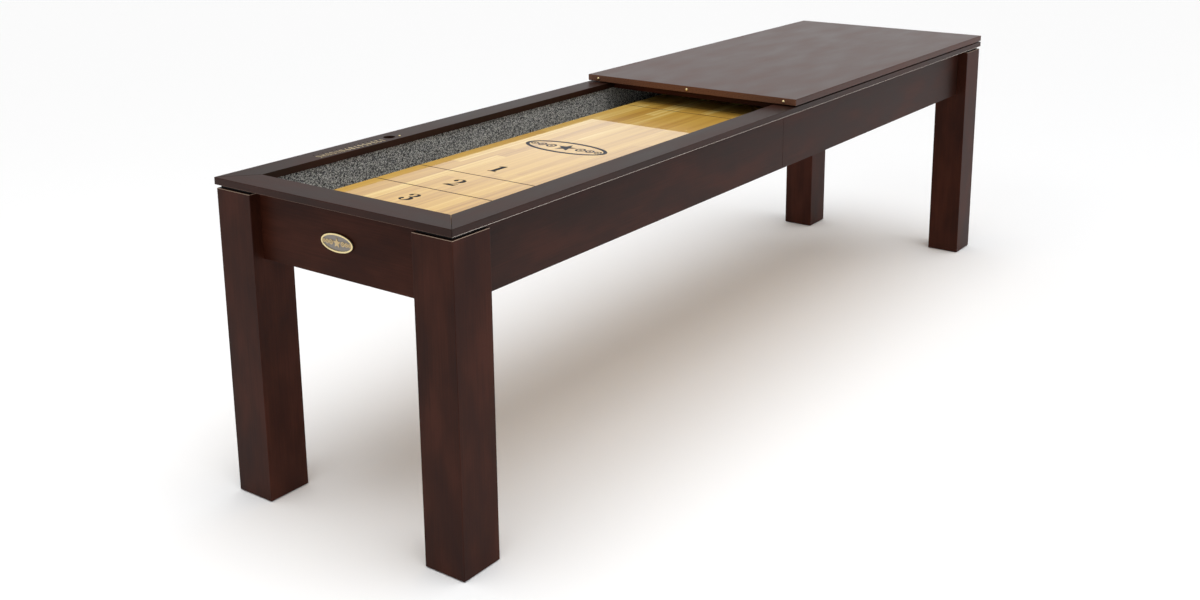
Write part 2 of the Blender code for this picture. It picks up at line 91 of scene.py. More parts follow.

# ---- playfield markings ----
INK_THICK = 0.15 * MM
LINE_WIDTH = 3.2 * MM
SCORE_LINES = (155 * MM, 303 * MM, 1166 * MM)  # from the board's end: below 2, below 1, the foul line
NUMERAL_HEIGHT = 53 * MM
NUMERALS_AT = {"3": 77.5 * MM, "2": 226.5 * MM, "1": 377 * MM}  # their middles, from the board's end
MARK_LENGTH = 247 * MM
MARK_WIDTH = 106 * MM
MARK_AT = 638 * MM
MARK_RING = 10.5 * MM
MARK_STAR = 0.56  # of half the mark's width, as the gap and the first puck
MARK_GAP = 0.045
MARK_PUCK = 0.27
NEXT_PUCK = 0.85  # of the one before
PUCKS_A_SIDE = 3
STAR_WAIST = 0.43  # of its points' reach
PUCK_GROOVE = 0.62  # of the puck's radius, as its cap
PUCK_CAP = 0.3
OVAL_STEPS = 32
PUCK_STEPS = 16
PUCK_CAP_STEPS = 8

# ---- scorer ----
SCORER_NUMERAL = 21 * MM  # tall and narrow
SCORER_NUMERAL_STROKE = 0.5 * MM  # added all round
SCORER_INBOARD = 20 * MM  # numerals' centres, from the peg holes
SCORER_RAISE = 0.25 * MM
SCORE_COUNT = 15
SCORE_PITCH = 14.4 * MM
SCORE_HOLE_FROM_EDGE = 41 * MM  # from the rail's inner edge
SCORE_CUP_AFTER_LAST = 34.4 * MM
STUD_AFTER_CUP = 26 * MM
STUD_DIAMETER = 7 * MM
STUD_RISE = 1.2 * MM
BUILT_IN_FONT_HEIGHT = 0.7  # of a numeral, as a share of the font's size
ONE_DIGIT_WIDTH = 0.62  # of the font's own width
TWO_DIGIT_WIDTH = 0.38

# ---- badge ----
BADGE_RIM = 3 * MM
BADGE_RIM_RISE = 1.4 * MM
BADGE_RIM_EASING = 0.56 * MM
BADGE_MOTIF_RISE = 0.9 * MM
BADGE_MOTIF_EASING = 0.27 * MM

# ---- fasteners ----
HEAD_RINGS = 5
HEAD_SIDES = 24
HEAD_SUNK = 0.2 * MM  # into the face that it stands on
SOCKET_LIP = 0.75  # radius at which the dome stops, of the socket's diameter
SOCKET_DEPTH = 0.6  # of the head's rise
SHARP_EDGE = math.radians(40)
TURNED_EDGE = 0.4 * MM
BOLT_APART = 60 * MM
BOLT_DIAMETER = 8 * MM
BOLT_SHOWS = 6 * MM
WASHER_DIAMETER = 22 * MM
WASHER_THICK = 2 * MM
NUT_ACROSS = 13 * MM  # its flats
NUT_THICK = 6.5 * MM
WASHER_SIDES = 32
NUT_SIDES = 6
BOLT_SIDES = 20
SCREW_HEAD = 12 * MM
SCREW_RISE = 3 * MM
SCREW_SOCKET = 4 * MM
SCREW_INSET = 25 * MM  # from the rail's end
SCREW_EDGE = 15 * MM  # from the rail's side


# ---- shader building ----
def linear(code):
    """An sRGB hex colour as linear values."""
    parts = [int(code[i : i + 2], 16) / 255 for i in (1, 3, 5)]
    parts = [p / 12.92 if p <= 0.04045 else ((p + 0.055) / 1.055) ** 2.4 for p in parts]
    return (*parts, 1.0)


def add_node(tree, kind, inputs=None, stops=None, **settings):
    """One shader node with its settings, its inputs set or linked, and the stops of its ramp."""
    made = tree.nodes.new("ShaderNode" + kind)
    for name, value in settings.items():
        setattr(made, name, value)
    for name, value in (inputs or {}).items():
        if isinstance(value, bpy.types.NodeSocket):
            tree.links.new(value, made.inputs[name])
        else:
            made.inputs[name].default_value = value
    for index, (place, code) in enumerate(stops or ()):
        ramp = made.color_ramp.elements
        stop = ramp[index] if index < 2 else ramp.new(place)
        stop.position = place
        stop.color = linear(code)
    return made


def new_material(name, **finish):
    """A material of one Principled shader, whose sockets take these constants."""
    material = bpy.data.materials.new(name)
    material.use_nodes = True
    shader = material.node_tree.nodes["Principled BSDF"]
    for socket, value in finish.items():
        shader.inputs[socket.replace("_", " ")].default_value = value
    return material, material.node_tree, shader


def stretched(tree, size):
    """The part's own coordinates divided by a pattern's size in metres along X, Y and Z."""
    coordinates = add_node(tree, "TexCoord").outputs["Object"]
    scale = [1 / side for side in size]
    return add_node(tree, "Mapping", {"Vector": coordinates, "Scale": scale}).outputs["Vector"]


def along_axis(axis, length, across):
    """A grain's size along X, Y and Z when it runs along this axis."""
    return tuple(length if name == axis else across for name in "XYZ")


# ---- finishes ----
def beyond(tree, axis, distance):
    """1 on what lies further than this from the table's middle along X or Y, else 0."""
    place = add_node(tree, "SeparateXYZ", {"Vector": add_node(tree, "TexCoord").outputs["Object"]})
    away = add_node(tree, "Math", {0: place.outputs[axis]}, operation="ABSOLUTE").outputs[0]
    return add_node(tree, "Math", {0: away, 1: distance}, operation="GREATER_THAN").outputs[0]


def eased_edges(tree, up):
    """1 on the narrow faces that ease a square part's upper edges (up 1) or lower ones (up -1), else 0.
    They are the faces whose normal lies along no axis."""
    facing = add_node(tree, "SeparateXYZ", {"Vector": add_node(tree, "TexCoord").outputs["Normal"]})
    sizes = [add_node(tree, "Math", {0: facing.outputs[axis]}, operation="ABSOLUTE") for axis in "XYZ"]
    largest = sizes[0].outputs[0]
    for size in sizes[1:]:
        largest = add_node(tree, "Math", {0: largest, 1: size.outputs[0]}, operation="MAXIMUM").outputs[0]
    askew, square = 0.96, 0.99
    span = {"Value": largest, "From Min": askew, "From Max": square, "To Min": 1.0, "To Max": 0.0}
    narrow = add_node(tree, "MapRange", span).outputs["Result"]
    upright, leaning = 0.2 * up, 0.3 * up
    tilt = {"Value": facing.outputs["Z"], "From Min": upright, "From Max": leaning}
    tilted = add_node(tree, "MapRange", tilt).outputs["Result"]
    return add_node(tree, "Math", {0: narrow, 1: tilted}, operation="MULTIPLY").outputs[0]


def sawn_near_end(tree):
    """1 on the faces that look towards the near end, else 0."""
    facing = add_node(tree, "SeparateXYZ", {"Vector": add_node(tree, "TexCoord").outputs["Normal"]})
    turned, square = -0.7, -0.9
    span = {"Value": facing.outputs["X"], "From Min": turned, "From Max": square}
    return add_node(tree, "MapRange", span).outputs["Result"]


def espresso_poplar(name, grain_axis, stain_colours, sheen, gloss, edge_highlight=None, sawn=None):
    """Poplar under an espresso stain and clear lacquer: a dark red-brown that turns cooler and warmer in
    soft blotches, with faint grain lines, drawn coarser than real pores so that they show. A painted
    highlight on eased edges, given as (up, highlight colour, axis, distance), paints a pale line where the
    edge catches the light. A sawn near end, given as two colours, is paler and streaked."""
    material, tree, shader = new_material(name, Specular_IOR_Level=sheen)
    fine = stretched(tree, along_axis(grain_axis, 160 * MM, 2.5 * MM))
    broad = stretched(tree, along_axis(grain_axis, 190 * MM, 65 * MM))
    gloss_varies = 0.025
    grain = add_node(tree, "TexNoise", {"Vector": fine, "Scale": 1.0, "Detail": 4.0, "Roughness": 0.6})
    blotches = add_node(tree, "TexNoise", {"Vector": broad, "Scale": 1.0, "Detail": 3.0})
    shade = add_node(
        tree, "Mix", {"Factor": 0.28, 2: blotches.outputs["Fac"], 3: grain.outputs["Fac"]}
    )
    stain = add_node(
        tree,
        "ValToRGB",
        {"Fac": shade.outputs[0]},
        stops=list(zip((0.36, 0.50, 0.64), stain_colours)),
    )
    colour = stain.outputs["Color"]
    # Painted highlight: the eased edges near the outer faces take a pale colour in place of the light that
    # catches them.
    if edge_highlight:
        up, highlight_colour, across, distance = edge_highlight
        outer = {0: eased_edges(tree, up), 1: beyond(tree, across, distance)}
        highlit_edges = add_node(tree, "Math", outer, operation="MULTIPLY").outputs[0]
        edges = {"Factor": highlit_edges, 6: colour, 7: linear(highlight_colour)}
        colour = add_node(tree, "Mix", edges, data_type="RGBA").outputs[2]
    if sawn:
        paler = add_node(tree, "ValToRGB", {"Fac": grain.outputs["Fac"]}, stops=list(zip((0.3, 0.7), sawn)))
        ends = {"Factor": sawn_near_end(tree), 6: colour, 7: paler.outputs["Color"]}
        colour = add_node(tree, "Mix", ends, data_type="RGBA").outputs[2]
    tree.links.new(colour, shader.inputs["Base Color"])
    polish = {"Value": blotches.outputs["Fac"], "From Min": 0.3, "From Max": 0.7}
    polish.update({"To Min": gloss - gloss_varies, "To Max": gloss + gloss_varies})
    tree.links.new(add_node(tree, "MapRange", polish).outputs["Result"], shader.inputs["Roughness"])
    pores = add_node(
        tree, "Bump", {"Height": grain.outputs["Fac"], "Strength": 0.10, "Distance": 0.3 * MM}
    )
    tree.links.new(pores.outputs["Normal"], shader.inputs["Normal"])
    return material


def black_stain():
    """Black-stained hardwood in the shadow gap: flat, almost no light comes back."""
    material, tree, shader = new_material("black_stained_wood", Roughness=0.6, Specular_IOR_Level=0.2)
    grain = add_node(
        tree,
        "TexNoise",
        {"Vector": stretched(tree, (2 * MM, 2 * MM, 20 * MM)), "Scale": 1.0, "Detail": 3.0},
    )
    stain = add_node(
        tree,
        "ValToRGB",
        {"Fac": grain.outputs["Fac"]},
        stops=[(0.35, "#070505"), (0.65, "#120c0a")],
    )
    tree.links.new(stain.outputs["Color"], shader.inputs["Base Color"])
    return material


def lacquered_maple():
    """Edge-glued maple strips under a thick poured finish: cream, honey and tan strips with long soft
    streaks, and a surface like glass. Its fibres are drawn coarser than real ones, so that they show."""
    strip = 31 * MM
    stave = 820 * MM
    material, tree, shader = new_material(
        "lacquered_maple", Roughness=0.35, Coat_Weight=0.85, Coat_Roughness=0.015, Coat_IOR=1.5
    )
    coordinates = add_node(tree, "TexCoord").outputs["Object"]
    place = add_node(tree, "SeparateXYZ", {"Vector": coordinates})
    row = add_node(tree, "Math", {0: place.outputs["Y"], 1: 1 / strip}, operation="MULTIPLY")
    row = add_node(tree, "Math", {0: row.outputs[0]}, operation="FLOOR")
    start = add_node(tree, "TexWhiteNoise", {"W": row.outputs[0]}, noise_dimensions="1D")
    column = add_node(
        tree,
        "Math",
        {0: place.outputs["X"], 1: 1 / stave, 2: start.outputs["Value"]},
        operation="MULTIPLY_ADD",
    )
    column = add_node(tree, "Math", {0: column.outputs[0]}, operation="FLOOR")
    cell = add_node(tree, "CombineXYZ", {"X": row.outputs[0], "Y": column.outputs[0]})
    stave_tone = add_node(tree, "TexWhiteNoise", {"Vector": cell.outputs[0]}, noise_dimensions="2D")
    streak_size = (650 * MM, 11 * MM, 11 * MM)
    fibre_size = (90 * MM, 1.2 * MM, 1.2 * MM)
    streaks = add_node(
        tree,
        "TexNoise",
        {"Vector": stretched(tree, streak_size), "Scale": 1.0, "Detail": 2.0, "Roughness": 0.5},
    )
    fibres = add_node(
        tree,
        "TexNoise",
        {"Vector": stretched(tree, fibre_size), "Scale": 1.0, "Detail": 3.0, "Roughness": 0.6},
    )
    tone = add_node(
        tree,
        "Mix",
        {"Factor": 0.42, 2: streaks.outputs["Fac"], 3: stave_tone.outputs["Value"]},
    )
    tone = add_node(tree, "Mix", {"Factor": 0.22, 2: tone.outputs[0], 3: fibres.outputs["Fac"]})
    wood = add_node(
        tree,
        "ValToRGB",
        {"Fac": tone.outputs[0]},
        stops=[(0.26, "#b5832f"), (0.42, "#d1a044"), (0.58, "#e0b250"), (0.74, "#f6d783")],
    )
    tree.links.new(wood.outputs["Color"], shader.inputs["Base Color"])
    return material


def printed_ink(name, solid, thin):
    """Screen-printed blue-black ink on the finish: matt, so it stays dark where the board shines."""
    material, tree, shader = new_material(name, Roughness=0.55, Specular_IOR_Level=0.12)
    mottle = add_node(
        tree, "TexNoise", {"Vector": stretched(tree, (3 * MM,) * 3), "Scale": 1.0, "Detail": 2.0}
    )
    ink = add_node(
        tree,
        "ValToRGB",
        {"Fac": mottle.outputs["Fac"]},
        stops=[(0.3, solid), (0.7, thin)],
    )
    tree.links.new(ink.outputs["Color"], shader.inputs["Base Color"])
    return material


def gutter_carpet():
    """Looped nylon carpet in charcoal, grey and off-white yarn: salt and pepper, dull from all sides, with
    painted shade between the loops. They are drawn 2.4 mm across, a little coarser than real ones, so that
    they show."""
    loop = 2.4 * MM
    material, tree, shader = new_material(
        "looped_nylon_carpet", Roughness=1.0, Specular_IOR_Level=0.1, Sheen_Weight=0.25
    )
    even = stretched(tree, (loop,) * 3)
    tangle = add_node(tree, "TexNoise", {"Vector": even, "Scale": 1.6, "Detail": 3.0, "Roughness": 0.7})
    bent = {0: tangle.outputs["Color"], 1: (0.9, 0.9, 0.9), 2: even}
    tangled = add_node(tree, "VectorMath", bent, operation="MULTIPLY_ADD").outputs["Vector"]
    loops = add_node(tree, "TexVoronoi", {"Vector": tangled, "Scale": 1.0})
    yarn = add_node(tree, "SeparateColor", {"Color": loops.outputs["Color"]})
    fuzz = add_node(tree, "TexNoise", {"Vector": even, "Scale": 4.0, "Detail": 3.0, "Roughness": 0.7})
    shade = add_node(tree, "Mix", {"Factor": 0.35, 2: yarn.outputs[0], 3: fuzz.outputs["Fac"]})
    colour = add_node(
        tree,
        "ValToRGB",
        {"Fac": shade.outputs[0]},
        stops=[(0.18, "#2c2e30"), (0.38, "#848686"), (0.56, "#d0cfc9"), (0.70, "#fffff8")],
    )
    # Painted shade: the colour darkens towards the gaps between the loops, where shade would fall; the same
    # map raises the loops in the bump.
    depth = {"Value": loops.outputs["Distance"], "From Min": 0.15, "From Max": 0.75}
    depth.update({"To Min": 1.0, "To Max": 0.3})
    hollow = add_node(tree, "MapRange", depth).outputs["Result"]
    grey = add_node(tree, "CombineColor", {0: hollow, 1: hollow, 2: hollow}).outputs["Color"]
    shaded = {"Factor": 1.0, 6: colour.outputs["Color"], 7: grey}
    pile_colour = add_node(tree, "Mix", shaded, data_type="RGBA", blend_type="MULTIPLY").outputs[2]
    tree.links.new(pile_colour, shader.inputs["Base Color"])
    height = add_node(tree, "Mix", {"Factor": 0.25, 2: hollow, 3: fuzz.outputs["Fac"]}).outputs[0]
    pile = add_node(tree, "Bump", {"Height": height, "Strength": 0.8, "Distance": 1.5 * MM})
    tree.links.new(pile.outputs["Normal"], shader.inputs["Normal"])
    return material


def frame_pine(grain_axis):
    """Sawn softwood, unfinished, inside the cabinet: straw and honey streaks, furry from the saw."""
    material, tree, shader = new_material("sawn_pine", Roughness=0.75, Specular_IOR_Level=0.25)
    size = along_axis(grain_axis, 220 * MM, 5 * MM)
    grain = add_node(tree, "TexNoise", {"Vector": stretched(tree, size), "Scale": 1.0, "Detail": 4.0})
    wood = add_node(
        tree,
        "ValToRGB",
        {"Fac": grain.outputs["Fac"]},
        stops=[(0.35, "#b08a58"), (0.52, "#cba671"), (0.68, "#dcbd8a")],
    )
    tree.links.new(wood.outputs["Color"], shader.inputs["Base Color"])
    rough = add_node(
        tree, "Bump", {"Height": grain.outputs["Fac"], "Strength": 0.3, "Distance": 0.4 * MM}
    )
    tree.links.new(rough.outputs["Normal"], shader.inputs["Normal"])
    return material


def metal(name, code, roughness):
    """Bare metal: coloured reflections, broken up a little by polishing marks. They are drawn coarser
    than real ones, so that they show."""
    material, tree, shader = new_material(name, Metallic=1.0, Base_Color=linear(code))
    scratch_size = (7.2 * MM, 0.6 * MM, 0.6 * MM)
    marks = add_node(
        tree, "TexNoise", {"Vector": stretched(tree, scratch_size), "Scale": 1.0, "Detail": 2.0}
    )
    gloss = add_node(
        tree,
        "MapRange",
        {"Value": marks.outputs["Fac"], "To Min": roughness * 0.8, "To Max": roughness * 1.2},
    )
    tree.links.new(gloss.outputs["Result"], shader.inputs["Roughness"])
    return material


def moulded_nylon():
    """Black nylon foot, moulded with a spark texture, drawn coarser than a real one so that it shows."""
    material, tree, shader = new_material("moulded_nylon", Roughness=0.5, Base_Color=linear("#141415"))
    spark = add_node(tree, "TexNoise", {"Vector": stretched(tree, (0.7 * MM,) * 3), "Scale": 1.0})
    texture = add_node(
        tree, "Bump", {"Height": spark.outputs["Fac"], "Strength": 0.3, "Distance": 0.1 * MM}
    )
    tree.links.new(texture.outputs["Normal"], shader.inputs["Normal"])
    return material


def pressed_felt():
    """Pressed wool felt in dark brown: no gloss, fuzzy at its edges. Its fibres are drawn coarser than
    real ones, so that they show."""
    material, tree, shader = new_material(
        "pressed_felt", Roughness=1.0, Specular_IOR_Level=0.05, Sheen_Weight=0.5
    )
    fibres = add_node(
        tree, "TexNoise", {"Vector": stretched(tree, (1.2 * MM,) * 3), "Scale": 1.0, "Detail": 4.0}
    )
    colour = add_node(
        tree,
        "ValToRGB",
        {"Fac": fibres.outputs["Fac"]},
        stops=[(0.3, "#120d0b"), (0.7, "#2a211d")],
    )
    tree.links.new(colour.outputs["Color"], shader.inputs["Base Color"])
    return material


FINISHES = {
    "maple_playfield": lacquered_maple(),
    "black_stain": black_stain(),
    "gutter_carpet": gutter_carpet(),
    "felt": pressed_felt(),
    "brass": metal("polished_brass", "#ead6a2", 0.28),
    "badge_brass": metal("antique_brass", "#8d8781", 0.45),
    "black_peg": metal("blackened_steel", "#2a2a2c", 0.35),
    "zinc_steel": metal("zinc_plated_steel", "#b9bcc2", 0.35),
    "foot_nylon": moulded_nylon(),
}
WORN_BRASS = metal("worn_brass", "#cdb58a", 0.42)
INK = printed_ink("screen_printed_ink", "#16171b", "#222328")
MARK_INK = printed_ink("half_tone_ink", "#3a3b41", "#4b4c52")
DARK_STAIN = ("#22130d", "#2a160f", "#331a12")
BROWN_STAIN = ("#281610", "#301912", "#3b1e15")
RED_STAIN = ("#2b140e", "#351910", "#412016")
PANEL_STAIN = ("#3a2017", "#40231a", "#48271c")
SIDE_WOOD = espresso_poplar("satin_espresso_lengthwise", "X", BROWN_STAIN, 0.10, 0.42)
END_WOOD = espresso_poplar("satin_espresso_crosswise", "Y", RED_STAIN, 0.06, 0.42)
# Painted highlight: a pale line along the legs' upper eased edges.
LEG_WOOD = espresso_poplar(
    "satin_espresso_upright", "Z", RED_STAIN, 0.08, 0.42, edge_highlight=(1, "#a8917f", "X", 0.0)
)
# Painted highlight: a near-white line along the long caps' lower outer edges, where the light from the
# floor catches them.
LONG_RAIL_WOOD = espresso_poplar(
    "edge_highlight_espresso_lengthwise",
    "X",
    DARK_STAIN,
    0.165,
    0.40,
    edge_highlight=(-1, "#f6e8da", "Y", HALF_WIDTH - EDGE_HIGHLIGHT_WITHIN),
)
# Painted highlight: a faint pale line along the end caps' lower outer edges.
END_RAIL_WOOD = espresso_poplar(
    "edge_highlight_espresso_crosswise",
    "Y",
    BROWN_STAIN,
    0.135,
    0.40,
    edge_highlight=(-1, "#6b5245", "X", HALF_LENGTH - EDGE_HIGHLIGHT_WITHIN),
)
PANEL_WOOD = espresso_poplar(
    "semi_gloss_espresso", "X", PANEL_STAIN, 0.175, 0.34, sawn=("#4d2f22", "#75503c")
)
PINE = {axis: frame_pine(axis) for axis in "XYZ"}
WOOD_PIECES = {  # the first words found in a node's name give its finish
    "leg_": LEG_WOOD,
    "end_apron": END_WOOD,
    "panel_batten": END_WOOD,
    "near_top_rail": END_RAIL_WOOD,
    "far_top_rail": END_RAIL_WOOD,
    "top_rail": LONG_RAIL_WOOD,
    "side_apron": SIDE_WOOD,
    "dining_top_panel": PANEL_WOOD,
}


def longest_axis(node):
    """The axis that a board's length, and so its grain, runs along."""
    low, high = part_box(node)
    return max(zip(high - low, "XYZ"))[1]


def finish_nodes():
    """Each CAD node takes the finish of its slot, and wood the one whose grain runs along the piece."""
    for part in frame["record"]["subparts"]:
        obj = NODES[part["node"]]
        slot = part["material_slot"]
        if slot == "frame_pine":
            finish = PINE[longest_axis(part["node"])]
        elif slot == "espresso_wood":
            finish = next(wood for words, wood in WOOD_PIECES.items() if words in part["node"])
        else:
            finish = FINISHES[slot]
        obj.data.materials.clear()
        obj.data.materials.append(finish)


# ---- pieces ----
def keep(obj, material, body):
    """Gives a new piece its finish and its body."""
    obj.data.materials.append(material)
    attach(obj, body)
    return obj


def placed(name, data, place=(0, 0, 0), turn=(0, 0, 0)):
    """A new object in the scene."""
    obj = bpy.data.objects.new(name, data)
    obj.location = place
    obj.rotation_euler = turn
    bpy.context.scene.collection.objects.link(obj)
    return obj


def flat_shape(name, outlines, thickness, place, turn=(0, 0, 0), easing=0.0):
    """A flat piece with these closed outlines, standing on its place. A point with a third value is a
    corner, and the others lie on a smooth curve."""
    curve = bpy.data.curves.new(name, "CURVE")
    curve.dimensions = "2D"
    curve.fill_mode = "BOTH"
    curve.extrude = thickness / 2 - easing
    curve.bevel_depth = easing
    curve.bevel_resolution = 2
    curve.resolution_u = 5
    for outline in outlines:
        spline = curve.splines.new("BEZIER")
        spline.bezier_points.add(len(outline) - 1)
        for point, (x, y, *corner) in zip(spline.bezier_points, outline):
            point.co = (x, y, 0)
            point.handle_left_type = point.handle_right_type = "VECTOR" if corner else "AUTO"
        spline.use_cyclic_u = True
    middle = Vector(place) + Euler(turn).to_matrix() @ Vector((0, 0, thickness / 2))
    return placed(name, curve, middle, turn)


def corners(points):
    """These points as corners of an outline."""
    return [(x, y, True) for x, y in points]


def ellipse(half_x, half_y, steps, across=0.0):
    """An oval's outline, moved across along its X."""
    angles = [2 * math.pi * i / steps for i in range(steps)]
    return [(across + half_x * math.cos(a), half_y * math.sin(a)) for a in angles]


def star(outer, inner):
    """The outline of a five-pointed star, one point up."""
    angles = [math.pi / 2 + math.pi * i / 5 for i in range(10)]
    radii = [outer, inner] * 5
    return corners([(r * math.cos(a), r * math.sin(a)) for r, a in zip(radii, angles)])


def rectangle(length, width):
    """A rectangle's outline about its middle."""
    x, y = length / 2, width / 2
    return corners([(-x, -y), (x, -y), (x, y), (-x, y)])


def domed_head(name, diameter, rise, place, turn=(0, 0, 0), socket=0.0):
    """A low domed head, standing on its place. A socket sinks a round hole of that diameter in its top."""
    bm = bmesh.new()
    radius = diameter / 2
    rings = []
    for ring in range(HEAD_RINGS):
        angle = math.pi / 2 * ring / HEAD_RINGS
        rings.append((radius * math.cos(angle), rise * math.sin(angle)))
    if socket:
        rings = [(r, z) for r, z in rings if r > socket * SOCKET_LIP]
        lip = rings[-1][1]
        rings += [(socket / 2, lip), (socket / 2, lip - rise * SOCKET_DEPTH)]
    circles = []
    for r, z in [(radius, -HEAD_SUNK)] + rings:
        circle = []
        for step in range(HEAD_SIDES):
            angle = 2 * math.pi * step / HEAD_SIDES
            circle.append(bm.verts.new((r * math.cos(angle), r * math.sin(angle), z)))
        circles.append(circle)
    for lower, upper in zip(circles, circles[1:]):
        for step in range(HEAD_SIDES):
            after = (step + 1) % HEAD_SIDES
            bm.faces.new((lower[step], lower[after], upper[after], upper[step]))
    bm.faces.new(circles[0][::-1])
    bm.faces.new(circles[-1])
    mesh = bpy.data.meshes.new(name)
    bm.to_mesh(mesh)
    bm.free()
    mesh.shade_smooth()
    mesh.set_sharp_from_angle(angle=SHARP_EDGE)
    return placed(name, mesh, place, turn)


def stacked(name, discs, place, turn):
    """Several discs about one line as one piece. Each is given as (sides, diameter, low, high)."""
    bm = bmesh.new()
    for sides, diameter, low, high in discs:
        made = bmesh.ops.create_cone(
            bm,
            cap_ends=True,
            segments=sides,
            radius1=diameter / 2,
            radius2=diameter / 2,
            depth=high - low,
        )
        bmesh.ops.translate(bm, vec=(0, 0, (low + high) / 2), verts=made["verts"])
    mesh = bpy.data.meshes.new(name)
    bm.to_mesh(mesh)
    bm.free()
    obj = placed(name, mesh, place, turn)
    edge = obj.modifiers.new("edge", "BEVEL")
    edge.width = TURNED_EDGE
    edge.segments = 2
    return obj


# Bold serif numerals, one unit high, on a base line at 0.
NUMERAL_OUTLINES = {
    "1": corners(
        [(-0.25, 0), (0.25, 0), (0.25, 0.05), (0.12, 0.07), (0.12, 1), (0.03, 1), (-0.26, 0.87)]
        + [(-0.26, 0.82), (-0.12, 0.86), (-0.12, 0.07), (-0.25, 0.05)]
    ),
    "2": corners([(-0.31, 0), (-0.31, 0.05)])
    + [(-0.12, 0.24), (0.03, 0.43), (0.09, 0.68), (0.05, 0.90), (-0.05, 0.95), (-0.15, 0.90)]
    + [(-0.10, 0.74), (-0.19, 0.63), (-0.30, 0.73), (-0.23, 0.92), (0.0, 1.0), (0.24, 0.92)]
    + [(0.31, 0.71), (0.20, 0.48), (0.0, 0.31)]
    + corners([(-0.14, 0.19)])
    + [(0.05, 0.17), (0.20, 0.19)]
    + corners([(0.27, 0.32), (0.31, 0.32), (0.27, 0)]),
    "3": [(-0.28, 0.79), (-0.19, 0.94), (0.01, 1.0), (0.22, 0.93), (0.28, 0.77), (0.21, 0.61)]
    + corners([(0.07, 0.54)])
    + [(0.24, 0.46), (0.31, 0.28), (0.23, 0.08), (-0.02, 0.0), (-0.24, 0.07), (-0.30, 0.22)]
    + [(-0.20, 0.33), (-0.10, 0.24), (-0.14, 0.12), (-0.03, 0.05), (0.07, 0.10), (0.10, 0.28)]
    + corners([(0.04, 0.47), (-0.09, 0.50), (-0.09, 0.54), (0.04, 0.58)])
    + [(0.09, 0.77), (0.06, 0.91), (-0.03, 0.95), (-0.13, 0.90), (-0.09, 0.79), (-0.18, 0.68)],
}


def playfield_markings():
    """Lines, numerals and the oval mark, the same way round from each end."""
    low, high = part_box("playfield")
    reach, width = high.x, high.y - low.y
    middle = (low.y + high.y) / 2
    for end, sign in (("near", -1), ("far", 1)):
        turn = (0, 0, sign * math.pi / 2)

        def place(inset):
            return (sign * (reach - inset), middle, high.z)

        for number, inset in enumerate(SCORE_LINES, start=1):
            outline = rectangle(width, LINE_WIDTH)
            line = flat_shape(f"{end}_line_{number}", [outline], INK_THICK, place(inset), turn)
            keep(line, INK, "table")
        for numeral, inset in NUMERALS_AT.items():
            outline = [
                (x * NUMERAL_HEIGHT, (y - 0.5) * NUMERAL_HEIGHT, *corner)
                for x, y, *corner in NUMERAL_OUTLINES[numeral]
            ]
            shape = flat_shape(f"{end}_numeral_{numeral}", [outline], INK_THICK, place(inset), turn)
            keep(shape, INK, "table")
        mark = mark_outlines(MARK_LENGTH, MARK_WIDTH, MARK_RING)
        shape = flat_shape(f"{end}_oval_mark", mark, INK_THICK, place(MARK_AT), turn)
        keep(shape, MARK_INK, "table")


def mark_outlines(length, width, ring):
    """An oval ring round a star between two rows of pucks, each clear of the next."""
    half_x, half_y = length / 2, width / 2
    outlines = [ellipse(half_x, half_y, OVAL_STEPS), ellipse(half_x - ring, half_y - ring, OVAL_STEPS)]
    outlines.append(star(half_y * MARK_STAR, half_y * MARK_STAR * STAR_WAIST))
    for side in (-1, 1):
        reach = half_y * MARK_STAR
        puck = half_y * MARK_PUCK
        for _ in range(PUCKS_A_SIDE):
            reach += half_y * MARK_GAP + puck
            for share, steps in ((1.0, PUCK_STEPS), (PUCK_GROOVE, PUCK_STEPS), (PUCK_CAP, PUCK_CAP_STEPS)):
                outlines.append(ellipse(puck * share, puck * share, steps, side * reach))
            reach += puck
            puck *= NEXT_PUCK
    return outlines


def scorer():
    """Brass numerals inlaid beside the peg holes, and the small brass stud past the cup."""
    rail_low, rail_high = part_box("left_top_rail")
    peg_low, peg_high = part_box("light_score_peg")
    cup_x = (peg_low.x + peg_high.x) / 2
    y = rail_low.y + SCORE_HOLE_FROM_EDGE - SCORER_INBOARD
    for number in range(1, SCORE_COUNT + 1):
        text = bpy.data.curves.new(f"scorer_numeral_{number}", "FONT")
        text.body = str(number)
        text.size = SCORER_NUMERAL / BUILT_IN_FONT_HEIGHT
        text.align_x, text.align_y = "CENTER", "CENTER"
        text.extrude = SCORER_RAISE / 2
        text.offset = SCORER_NUMERAL_STROKE
        x = cup_x - SCORE_CUP_AFTER_LAST - (number - 1) * SCORE_PITCH
        shape = placed(text.name, text, (x, y, rail_high.z + SCORER_RAISE / 2), (0, 0, math.pi))
        shape.scale.x = ONE_DIGIT_WIDTH if number < 10 else TWO_DIGIT_WIDTH
        keep(shape, FINISHES["brass"], "table")
    stud = domed_head("scorer_stud", STUD_DIAMETER, STUD_RISE, (cup_x + STUD_AFTER_CUP, y, rail_high.z))
    keep(stud, FINISHES["brass"], "table")


def badge_relief():
    """A bright brass rim and a raised motif on the badge's grey plate."""
    low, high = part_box("badge")
    face = (low.x, (low.y + high.y) / 2, (low.z + high.z) / 2)
    facing = (math.pi / 2, 0, -math.pi / 2)
    outlines = mark_outlines(high.y - low.y, high.z - low.z, BADGE_RIM)
    rim, motif = outlines[:2], outlines[2:]
    ring = flat_shape("badge_rim", rim, BADGE_RIM_RISE, face, facing, BADGE_RIM_EASING)
    keep(ring, FINISHES["brass"], "table")
    relief = flat_shape("badge_motif", motif, BADGE_MOTIF_RISE, face, facing, BADGE_MOTIF_EASING)
    keep(relief, WORN_BRASS, "table")


